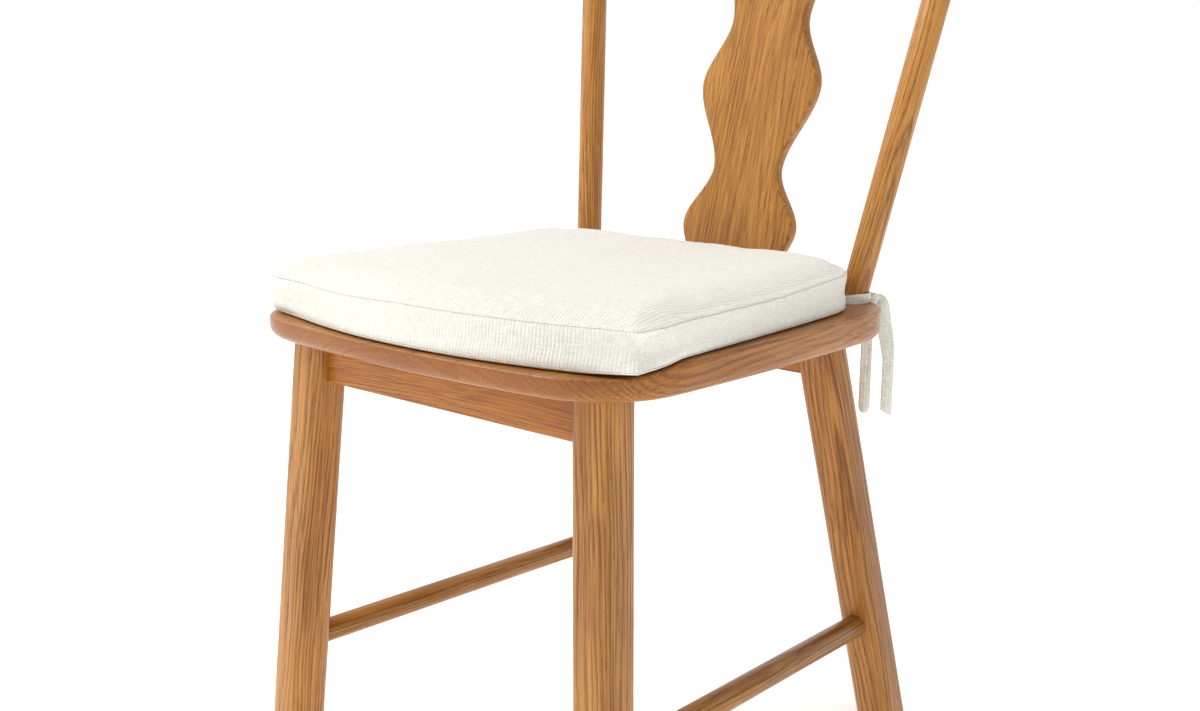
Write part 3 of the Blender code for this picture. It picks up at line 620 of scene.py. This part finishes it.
def slub_linen(name, pale, dull):
    """Plain-woven linen. Uneven yarn gives fine crossing threads, some thicker and greyer."""
    material, tree, shader = blank(name)
    laid = add(tree, "ShaderNodeUVMap", uv_map="cloth")
    wander = add(tree, "ShaderNodeTexNoise", {"Vector": laid, "Scale": 70.0, "Detail": 2.0}, out="Color")
    centred = add(tree, "ShaderNodeVectorMath", {0: wander, 1: (0.5, 0.5, 0.5)}, operation="SUBTRACT")
    uneven = add(
        tree, "ShaderNodeVectorMath", {0: centred, 1: (0.0016, 0.0016, 0), 2: laid}, operation="MULTIPLY_ADD"
    )
    # threads lie 1.7 mm apart: real ones are about 0.8 mm, drawn coarser so that they show
    counted = add(
        tree, "ShaderNodeMapping", {"Vector": uneven, "Scale": (590, 590, 0), "Location": (0, 0, 0.5)}
    )
    over = add(tree, "ShaderNodeTexChecker", {"Vector": counted, "Scale": 1.0}, out="Fac")
    warp_place = add(tree, "ShaderNodeMapping", {"Vector": uneven, "Scale": (590, 100, 1)})
    weft_place = add(tree, "ShaderNodeMapping", {"Vector": uneven, "Scale": (100, 590, 1)})
    warp = add(tree, "ShaderNodeTexNoise", {"Vector": warp_place, "Scale": 1.0, "Detail": 2.0})
    weft = add(tree, "ShaderNodeTexNoise", {"Vector": weft_place, "Scale": 1.0, "Detail": 2.0})
    yarn = add(tree, "ShaderNodeMix", {0: over, 2: warp, 3: weft}, data_type="FLOAT")
    patch = add(tree, "ShaderNodeTexNoise", {"Vector": laid, "Scale": 26.0, "Detail": 3.0})
    tone = add(tree, "ShaderNodeMath", {0: patch, 1: 0.12, 2: yarn}, operation="MULTIPLY_ADD")
    share = add(tree, "ShaderNodeMapRange", {"Value": tone, "From Min": 0.44, "From Max": 0.80})
    colour = add(
        tree, "ShaderNodeMix", {0: share, 6: linear(pale), 7: linear(dull)}, out=2, data_type="RGBA"
    )
    tree.links.new(colour, shader.inputs["Base Color"])
    crown = add(tree, "ShaderNodeTexWave", {"Vector": counted, "Scale": 0.159, "Distortion": 0.0}, out="Fac")
    lift = add(tree, "ShaderNodeMath", {0: yarn, 1: 1.5, 2: crown}, operation="MULTIPLY_ADD")
    relief = add(tree, "ShaderNodeBump", {"Strength": 0.6, "Distance": 0.0005, "Height": lift})
    tree.links.new(relief, shader.inputs["Normal"])
    shader.inputs["Roughness"].default_value = 0.92
    shader.inputs["Sheen Weight"].default_value = 0.12
    shader.inputs["Sheen Roughness"].default_value = 0.5
    return material


AROUND = 320
pad_floor = seat_high.z - SCOOP_DEPTH + 0.0006
BAND_HEIGHT = 0.0353
CROWN = 0.0120
FRONT_LEAN = 0.006
FRONT_SAG = 0.0032
ZIP_Z = seat_high.z + 0.010
ZIP_HALF = 0.125
pad_outline = level_outline("cushion_cover", seat_high.z - SCOOP_DEPTH + 0.0359, AROUND)
pad_middle = np.array([0.0, (pad_outline[:, 1].min() + pad_outline[:, 1].max()) / 2])
along = np.roll(pad_outline, -1, axis=0) - np.roll(pad_outline, 1, axis=0)
pad_out = np.column_stack([along[:, 1], -along[:, 0]]) / np.linalg.norm(along, axis=1)[:, None]
pad_run = np.arange(AROUND + 1) * np.linalg.norm(along, axis=1).mean() / 2
# the cover isn't square on its foam: the front left corner is plump, the rear ones are drawn in, and
# the panels' sewn corner stands out as a point at the front right
CORNER_REACH = 0.038
PUFF = 0.0022
PUFF_REACH = 0.055
POINT = 0.0080
POINT_REACH = 0.014
corner_run, low_push, high_push, puff = np.zeros((4, AROUND))
for side_x, side_y, point, low, high in (
    (1, -0.9, POINT, 0, 0),
    (-1, -1, 0, 0.0065, 0.0125),
    (1, 1, 0, -0.0085, -0.0085),
    (-1, 1, 0, -0.0085, -0.0085),
):
    tip = int(np.argmax(pad_outline @ np.array([side_x * 1.0, side_y * 1.0])))
    gap = np.abs(np.arange(AROUND) - tip)
    gap = np.minimum(gap, AROUND - gap) * pad_run[1]
    corner_run += point * np.exp(-gap / POINT_REACH)
    low_push += low * np.exp(-((gap / CORNER_REACH) ** 2))
    high_push += high * np.exp(-((gap / CORNER_REACH) ** 2))
    if low > 0:
        puff = np.exp(-((gap / PUFF_REACH) ** 2))
pad_outline = pad_outline + pad_out * low_push[:, None]
high_push -= low_push
back_curve = pad_outline[pad_outline[:, 1] > pad_middle[1]]
back_curve = back_curve[np.argsort(back_curve[:, 0])]


def back_y(x):
    """Where the band's back lies at x."""
    return float(np.interp(x, back_curve[:, 0], back_curve[:, 1]))


# profile from the middle of the bottom panel, over the two seams, to the middle of the top panel:
# share of the outline, inset from it, height, and how far the seam's corners stand out
profile = [(share, 0.0, 0.0, 0.0) for share in (0.0, 0.3, 0.6, 0.8, 0.9)]
profile += [(1, 0.009, 0.0, 0.2), (1, 0.005, 0.0002, 0.3), (1, 0.0025, 0.0008, 0.6), (1, 0.0010, 0.0018, 1)]
profile += [(1, 0.0005, 0.0026, 1), (1, 0.0018, 0.0031, 1), (1, 0.0007, 0.0036, 0.9)]
for step in range(1, 16):
    height = 0.0042 + (BAND_HEIGHT - 0.0058) * step / 16
    bulge = 0.0022 * math.sin(math.pi * step / 16)
    profile.append((1, 0.0006 - bulge, height, 0.3 + 0.4 * (step / 8 - 1) ** 2))
profile += [(1, 0.0004, BAND_HEIGHT - 0.0006, 0.95), (1, 0.0018, BAND_HEIGHT, 1)]
profile += [(1, 0.0009, BAND_HEIGHT + 0.0007, 1)]
for inset in (0.0020, 0.0036, 0.0055, 0.008, 0.011, 0.015, 0.020, 0.026, 0.032):
    roll = 0.06 + 0.94 * (1 - math.exp(-inset / 0.014))
    profile.append((1, inset, BAND_HEIGHT + CROWN * roll, 1 - inset / 0.032))
for share in (0.80, 0.72, 0.62, 0.50, 0.36, 0.22, 0.10, 0.0):
    profile.append((share, 0.0, BAND_HEIGHT + CROWN * (0.99 - 0.06 * share), 0.0))
TOP_SEAM = next(i for i, row in enumerate(profile) if row[2] == BAND_HEIGHT)
BOTTOM_SEAM = next(i for i, row in enumerate(profile) if row[2] == 0.0031)


def pad_points(shrink=0.0):
    """The pad's points, one row for each step of the profile, going round the outline."""
    rows = []
    for share, inset, height, corner in profile:
        stand = corner_run * corner + high_push * float(ease(height, 0.001, 0.013))
        if height > BAND_HEIGHT and share == 1:
            stand = stand + PUFF * puff * math.sin(math.pi * min(inset / 0.014, 1))
        elif BAND_HEIGHT > height > 0.0036:
            stand = stand + PUFF * puff * math.sin(math.pi * height / BAND_HEIGHT)
        ring = pad_outline + pad_out * (stand - inset - shrink)[:, None]
        rise = min(height / BAND_HEIGHT, 1)
        lean_back = FRONT_LEAN * rise * ease(-pad_out[:, 1], 0.3, 0.95)
        ring[:, 1] += lean_back * (1 - corner_run * corner / POINT)
        ring = pad_middle + (ring - pad_middle) * share
        rows.append(np.column_stack([ring, np.full(AROUND, pad_floor + height)]))
    rows = np.array(rows)
    return np.concatenate([rows, rows[:, :1]], axis=1)


def draw_pad(points):
    """A grid rolled up into the closed pad, with its cloth laid flat in the UV map."""
    bpy.ops.mesh.primitive_grid_add(x_subdivisions=AROUND, y_subdivisions=len(profile) - 1, size=1)
    piece = bpy.context.object
    cloth = piece.data.uv_layers[0]
    cloth.name = "cloth"
    piece.data.vertices.foreach_set("co", points.reshape(-1))
    rings = np.cumsum([0] + [math.dist(a[1:3], b[1:3]) for a, b in zip(profile, profile[1:])])
    for face in piece.data.polygons:
        ring = min(piece.data.vertices[i].index for i in face.vertices) // (AROUND + 1)
        for loop in face.loop_indices:
            index = piece.data.loops[loop].vertex_index
            if BOTTOM_SEAM <= ring < TOP_SEAM:
                cloth.data[loop].uv = (pad_run[index % (AROUND + 1)], rings[index // (AROUND + 1)])
            else:
                cloth.data[loop].uv = points.reshape(-1, 3)[index][:2]
    only(piece)
    bpy.ops.object.mode_set(mode="EDIT")
    bpy.ops.mesh.select_all(action="SELECT")
    bpy.ops.mesh.remove_doubles(threshold=0.00001)
    bpy.ops.mesh.normals_make_consistent(inside=False)
    bpy.ops.object.mode_set(mode="OBJECT")
    return piece


points = pad_points()
SHRUNK = 0.003
# the foam's push on the sewn cover, found by blowing up a slightly smaller copy
ghost = draw_pad(pad_points(SHRUNK))
only(ghost)
voxels = ghost.modifiers.new("voxels", "REMESH")
voxels.mode = "VOXEL"
voxels.voxel_size = 0.005
bpy.ops.object.modifier_apply(modifier=voxels.name)
before = np.array([vertex.co[:] for vertex in ghost.data.vertices])
cloth = ghost.modifiers.new("cover", "CLOTH")
cloth.settings.use_pressure = True
cloth.settings.uniform_pressure_force = 4.0
cloth.settings.effector_weights.gravity = 0.0
cloth.point_cache.frame_start = 1
cloth.point_cache.frame_end = 20
for number in range(1, 21):
    bpy.context.scene.frame_set(number)
bpy.ops.object.modifier_apply(modifier=cloth.name)
bpy.context.scene.frame_set(1)
after = np.array([vertex.co[:] for vertex in ghost.data.vertices])
travel = after - before
far = np.linalg.norm(travel, axis=1)[:, None]
after = before + travel * np.minimum(1, 0.008 / np.maximum(far, 1e-9))
blown = BVHTree.FromPolygons(
    [Vector(point) for point in after], [tuple(face.vertices) for face in ghost.data.polygons]
)
bpy.data.objects.remove(ghost)
for row, (share, inset, height, corner) in enumerate(profile):
    if row < BOTTOM_SEAM:
        continue
    seam = min(abs(height - BAND_HEIGHT) + inset, abs(height - 0.0031) + inset)
    follow = 0.4 * float(ease(seam, 0.002, 0.012))
    for column in range(AROUND + 1):
        point = Vector(points[row, column])
        nearest, outward = blown.find_nearest(point)[:2]
        points[row, column] = point.lerp(nearest + outward * SHRUNK, follow)
for row, (share, inset, height, corner) in enumerate(profile):
    for column in range(AROUND + 1):
        x, y, z = points[row, column]
        # the cover isn't perfectly filled: shallow dents and ripples, shallowest at the seams
        dent = noise.noise(Vector((x * 13, y * 13, z * 20))) * 0.0007
        dent += noise.noise(Vector((x * 42, y * 42, z * 42 + 7))) * 0.0002
        if row > TOP_SEAM:
            z += dent * min(1, inset / 0.006 if share == 1 else 1)
        elif row > BOTTOM_SEAM:
            swell = dent * 0.9 * math.sin(math.pi * (row - BOTTOM_SEAM) / (TOP_SEAM - BOTTOM_SEAM))
            x, y = np.array((x, y)) + pad_out[column % AROUND] * swell
        up = min(max(height / BAND_HEIGHT, 0), 1)
        front = float(1 - ease(y, middle_y - 0.19, middle_y - 0.05))
        z -= FRONT_SAG * up * float(1 - ease(x, -0.10, 0.01)) * front
        if row > TOP_SEAM:
            # the top panel is as high as its seam at the edge, and flattens to its own crown
            edge_lift = points[TOP_SEAM, column, 2] - pad_floor - BAND_HEIGHT
            edge = pad_outline[column % AROUND] - pad_middle
            out_share = np.linalg.norm((x, y) - pad_middle) / np.linalg.norm(edge)
            fade = float(ease(inset, 0, 0.006) if share == 1 else share**4)
            plump = 0.002 * puff[column % AROUND] * fade
            points[row, column] = (x, y, z + plump + max(edge_lift, 0) * min(out_share, 1) ** 3)
            continue
        lift = 0
        for inward in (1.0, 0.975, 0.95):
            hit = seat_surface.ray_cast(Vector((x * inward, y * inward, 1)), Vector((0, 0, -1)))[0]
            lift = max(lift, hit.z + 0.0006 - pad_floor if hit else 0)
        # the seam follows the rim fully at the back and by half at the front
        z += lift * (1 - up * (0.55 - 0.5 * float(ease(y, middle_y - 0.02, middle_y + 0.13))))
        if abs(x) < ZIP_HALF and y > pad_middle[1] and abs(z - ZIP_Z) < 0.0026:
            y = back_y(x) - 0.0004
        points[row, column] = (x, y, z)
pad = draw_pad(points)
pad_linen = slub_linen("slub_linen_cover", "#F5F4EA", "#DEDCD1")
settle(pad, "boxed_cushion", pad_linen, "linen", "cushion_cover", "cushion_foam", angle=50)


# ------------------------------------------------------------------ zip
# A nylon coil zip let into the band at the back, so that the cover comes off for washing.

zip_nylon, tree, shader = blank("woven_nylon_tape")
place = add(tree, "ShaderNodeTexCoord", out="Object")
ribs = add(tree, "ShaderNodeTexWave", {"Vector": place, "Scale": 250.0}, out="Fac")
tint = add(
    tree, "ShaderNodeMix", {0: ribs, 6: linear("#E6E2D4"), 7: linear("#D2CDBC")}, out=2, data_type="RGBA"
)
tree.links.new(tint, shader.inputs["Base Color"])
shader.inputs["Roughness"].default_value = 0.55
zip_low, zip_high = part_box("cushion_zip_tape")
zip_z = (zip_low.z + zip_high.z) / 2

tape = block((0, 0, zip_z), (2 * ZIP_HALF - 0.001, 0.0008, 0.0034))
pick(tape, "EDGE", lambda edge: abs(ends_of(tape, edge)[0].x - ends_of(tape, edge)[1].x) > 0.1)
bpy.ops.mesh.subdivide(number_cuts=40)
bpy.ops.object.mode_set(mode="OBJECT")
teeth = block((0.0015 - ZIP_HALF, 0.0006, zip_z), (0.0007, 0.0008, 0.0024))
round_edges(teeth, lambda a, b: abs(a.z - b.z) > 0.001, 0.0002, 2)
row = teeth.modifiers.new("row", "ARRAY")
row.count = 190
row.use_relative_offset = False
row.use_constant_offset = True
row.constant_offset_displace = (0.0013, 0, 0)
bpy.ops.object.modifier_apply(modifier=row.name)
for part, name, nodes in ((tape, "zip_tape", ["cushion_zip_tape"]), (teeth, "zip_coil", [])):
    for vertex in part.data.vertices:
        vertex.co.y += back_y(vertex.co.x) - 0.0009
    settle(part, name, zip_nylon, "zip_nylon", *nodes)
slider_low, slider_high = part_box("cushion_zip_slider")
slider_middle = (slider_low + slider_high) / 2
slider = block(slider_middle, (0.0070, 0.0016, 0.0052))
round_edges(slider, lambda a, b: True, 0.0006, 3)
pick(slider, "FACE", lambda face: face.normal.y > 0.9 and face.area > 0.00001)
bpy.ops.mesh.inset(thickness=0.0014)
bpy.ops.mesh.extrude_region_move(TRANSFORM_OT_translate={"value": (0, 0.0006, 0)})
bpy.ops.object.mode_set(mode="OBJECT")
settle(slider, "zip_slider", screw_zinc, "screw_steel", "cushion_zip_slider")


# ------------------------------------------------------------------ ties
# Flat tapes, 11 mm wide, folded and stitched from the cover's own linen. Each rear corner's pair goes
# round the post, one in front and one behind, meets in a knot on the outside and hangs down.

TIE_WIDTH = 0.0110
TIE_THICKNESS = 0.0011
TIE_HEIGHT = seat_high.z + 0.0072
KNOT_ANGLE = math.radians(58)
tie_linen = slub_linen("slub_linen_tape", "#F3F4EA", "#D2D2C6")


def smooth_route(stops, count):
    """Evenly spread points on a smooth curve through a route's stops."""
    stops = [Vector(stop) for stop in stops]
    stops = [2 * stops[0] - stops[1]] + stops + [2 * stops[-1] - stops[-2]]
    fine = []
    for a, b, c, d in zip(stops, stops[1:], stops[2:], stops[3:]):
        for t in np.linspace(0, 1, 30, endpoint=False):
            square, cube = 2 * a - 5 * b + 4 * c - d, 3 * b - a - 3 * c + d
            fine.append(0.5 * (2 * b + (c - a) * t + square * t**2 + cube * t**3))
    fine.append(stops[-2])
    run = np.concatenate([[0], np.cumsum([(q - p).length for p, q in zip(fine, fine[1:])])])
    spread = np.linspace(0, run[-1], count)
    return [Vector([np.interp(at, run, [p[k] for p in fine]) for k in range(3)]) for at in spread], run[-1]


def tape_piece(stops, across_at, tip="cut", count=48):
    """A tape along a route. across_at gives the direction of its width at a point and a run."""
    route, length = smooth_route(stops, count)
    bpy.ops.mesh.primitive_grid_add(x_subdivisions=6, y_subdivisions=count - 1, size=1)
    piece = bpy.context.object
    cloth = piece.data.uv_layers[0]
    cloth.name = "cloth"
    for loop in cloth.data:
        loop.uv = (loop.uv[0] * TIE_WIDTH, loop.uv[1] * length)
    for vertex in piece.data.vertices:
        step = round((vertex.co.y + 0.5) * (count - 1))
        share = step / (count - 1)
        run = (route[min(step + 1, count - 1)] - route[max(step - 1, 0)]).normalized()
        across = across_at(route[step], run, share).normalized()
        face = run.cross(across).normalized()
        half = vertex.co.x
        width = TIE_WIDTH
        left = (1 - share) * length
        if tip == "round" and left < 0.007:
            width *= 0.45 + 0.55 * math.sqrt(max(left / 0.007, 0))
        if tip is None:
            width *= 0.4 + 0.6 * float(ease(length - left, 0.004, 0.016))
        if tip == "knot":
            width *= 0.55 + 0.45 * float(ease(left, 0.001, 0.009))
        curl = 0.0009 * (1 - (2 * half) ** 2) + 0.0005 * math.sin(share * 9 + half * 3)
        place = route[step] + across * half * width + face * curl
        if tip == "slant":
            place += run * half * 0.006 * float(ease(share, 0.9, 1.0))
        vertex.co = place
    only(piece)
    wall = piece.modifiers.new("wall", "SOLIDIFY")
    wall.thickness = TIE_THICKNESS
    wall.offset = 0
    bpy.ops.object.modifier_apply(modifier=wall.name)
    rim = piece.modifiers.new("rim", "BEVEL")
    rim.width = 0.00035
    rim.segments = 2
    rim.angle_limit = math.radians(50)
    bpy.ops.object.modifier_apply(modifier=rim.name)
    return piece, length


def round_post(angle, z, off):
    """A point beside the right post, at an angle from its outer side towards the back."""
    rise = z - seat_high.z
    reach = POST_RADIUS + off
    return Vector(
        (
            POST_FOOT.x + POST_LEAN[0] * rise + reach * math.cos(angle),
            POST_FOOT.y + POST_LEAN[1] * rise + reach * math.sin(angle),
            z,
        )
    )


def upright(point, run, share):
    return Vector((POST_LEAN[0], POST_LEAN[1], 1)) - run * run.dot(Vector((POST_LEAN[0], POST_LEAN[1], 1)))


def backing(point, run, share):
    return run.cross(Vector((-0.55 - 3 * max(0, 1 - share / 0.35), 0.84, 0)))


knot_middle = round_post(KNOT_ANGLE, TIE_HEIGHT - 0.0045, 0.0076) + Vector((0.001, -0.0025, 0))
front_stops = [
    round_post(math.radians(a), TIE_HEIGHT - 0.0024 - 0.0035 * float(ease(-a, 20, 118)), 0.0014)
    for a in (-118, -96, -70, -40, -8, 22, 44)
]
front_stops = [Vector((POST_FOOT.x - 0.024, POST_FOOT.y - 0.0165, TIE_HEIGHT - 0.008))] + front_stops
rear_stops = [
    round_post(math.radians(a), TIE_HEIGHT - 0.0004, 0.0014) for a in (196, 170, 140, 110, 84)
]
TAILS = {
    "long": (
        [
            (0.1845, 0.2110, 0.4465),
            (0.1890, 0.2140, 0.4475),
            (0.1940, 0.2155, 0.4425),
            (0.1965, 0.2165, 0.428),
            (0.2010, 0.2165, 0.395),
            (0.2020, 0.2165, 0.335),
        ],
        "slant",
    ),
    "short": (
        [
            (0.1850, 0.2080, 0.4460),
            (0.1890, 0.2095, 0.4370),
            (0.1950, 0.2110, 0.424),
            (0.2045, 0.2128, 0.388),
        ],
        "cut",
    ),
    "inner": (
        [
            (0.1790, 0.2165, 0.4440),
            (0.1735, 0.2250, 0.431),
            (0.1710, 0.2268, 0.415),
            (0.1705, 0.2268, 0.400),
            (0.1712, 0.2268, 0.328),
        ],
        "round",
    ),
}
knot = block(knot_middle, (0.0125, 0.0105, 0.0135))
only(knot)
soft = knot.modifiers.new("soft", "SUBSURF")
soft.levels = soft.render_levels = 4
bpy.ops.object.modifier_apply(modifier=soft.name)
for vertex in knot.data.vertices:
    offset = vertex.co - knot_middle
    turn = math.atan2(offset.z, offset.x)
    fold = 0.0006 * math.sin(3 * turn + 260 * offset.y) + 0.0004 * math.sin(7 * turn - 400 * offset.y)
    vertex.co = knot_middle + offset * (1.22 + fold / max(offset.length, 0.001))
knot_uv = knot.data.uv_layers[0] if knot.data.uv_layers else knot.data.uv_layers.new(name="cloth")
knot_uv.name = "cloth"
for loop, corner in zip(knot_uv.data, knot.data.loops):
    spot = knot.data.vertices[corner.vertex_index].co - knot_middle
    loop.uv = (spot.x + spot.y, spot.z)

tapes = [("front_band", *tape_piece(front_stops, upright), "stretched", "cushion_tie")]
tapes.append(("rear_band", *tape_piece(rear_stops, upright), "stretched", None))
for tail, (stops, tip) in TAILS.items():
    moved = [Vector(stop) + Vector((0, middle_y, 0)) for stop in stops]
    tapes.append((f"{tail}_tail", *tape_piece(moved, backing, tip), "hung", f"tie_tail_{tail}"))
for word, side in (("right", 1), ("left", -1)):
    lump = settle(
        copied(knot, side < 0), f"tie_lump_{word}", tie_linen, "linen", f"tie_knot_{word}", angle=60
    )
    for name, piece, length, held, node in tapes:
        stood_for = [f"{node}_{word}"] if node else []
        made = settle(
            copied(piece, side < 0), f"{name}_{word}", tie_linen, "linen", *stood_for, angle=50
        )
for name, piece, length, held, node in tapes:
    bpy.data.objects.remove(piece)
bpy.data.objects.remove(knot)


# ------------------------------------------------------------------ room and camera
# A white acrylic table lit from below, in a white room whose light is strongest behind the chair and
# on its left and weakest at the front right. A soft box hangs at the front left, and a thin strip
# light stands on the right for the edges. The camera stands at the chair's front right, just above
# the seat and so close that the feet and the crest rail fall outside its view.

bpy.ops.mesh.primitive_plane_add(size=60)
floor = bpy.context.object
floor.name = "studio_floor"
floor_paint, tree, shader = blank("backlit_white_acrylic")
shader.inputs["Base Color"].default_value = linear("#FAFAFA")
shader.inputs["Roughness"].default_value = 0.95
shader.inputs["Specular IOR Level"].default_value = 0.0
shader.inputs["Emission Color"].default_value = (1, 1, 1, 1)
shader.inputs["Emission Strength"].default_value = 0.42
floor.data.materials.append(floor_paint)
studio = bpy.data.worlds.new("studio")
studio.use_nodes = True
sky = add(studio.node_tree, "ShaderNodeTexCoord", out="Generated")
sky = add(
    studio.node_tree,
    "ShaderNodeVectorMath",
    {0: sky, 1: (0.9, -0.42, 0)},
    out="Value",
    operation="DOT_PRODUCT",
)
dimmer = add(
    studio.node_tree,
    "ShaderNodeMapRange",
    {"Value": sky, "From Min": -0.52, "From Max": 0.55, "To Min": 1.04, "To Max": 0.46},
)
studio.node_tree.nodes["Background"].inputs[0].default_value = (1, 1, 1, 1)
studio.node_tree.links.new(dimmer, studio.node_tree.nodes["Background"].inputs[1])
bpy.context.scene.world = studio
for place, wide, tall, power in (((-1.5, -1.3, 2.8), 1.4, 1.4, 48), ((1.9, -0.9, 1.1), 0.12, 1.5, 3.5)):
    bpy.ops.object.light_add(type="AREA", location=place)
    lamp = bpy.context.object
    lamp.data.shape = "RECTANGLE"
    lamp.data.size = wide
    lamp.data.size_y = tall
    lamp.data.energy = power
    lamp.rotation_euler = (Vector((0, 0, 0.5)) - Vector(place)).to_track_quat("-Z", "Y").to_euler()
bpy.context.scene.view_settings.view_transform = "Standard"

azimuth, elevation, roll = math.radians(40.773), math.radians(11.564), math.radians(1.042)
aim = Vector((0.0122, middle_y + 0.0028, seat_high.z - 0.0498))
forward = Vector(
    (-math.sin(azimuth) * math.cos(elevation), math.cos(azimuth) * math.cos(elevation), -math.sin(elevation))
)
bpy.ops.object.camera_add(location=aim - forward * 1.3792)
camera = bpy.context.object
level = forward.to_track_quat("-Z", "Y").to_matrix()
camera.rotation_euler = (level @ Matrix.Rotation(roll, 3, "Z")).to_euler()
camera.data.lens = 43.352
bpy.context.scene.camera = camera
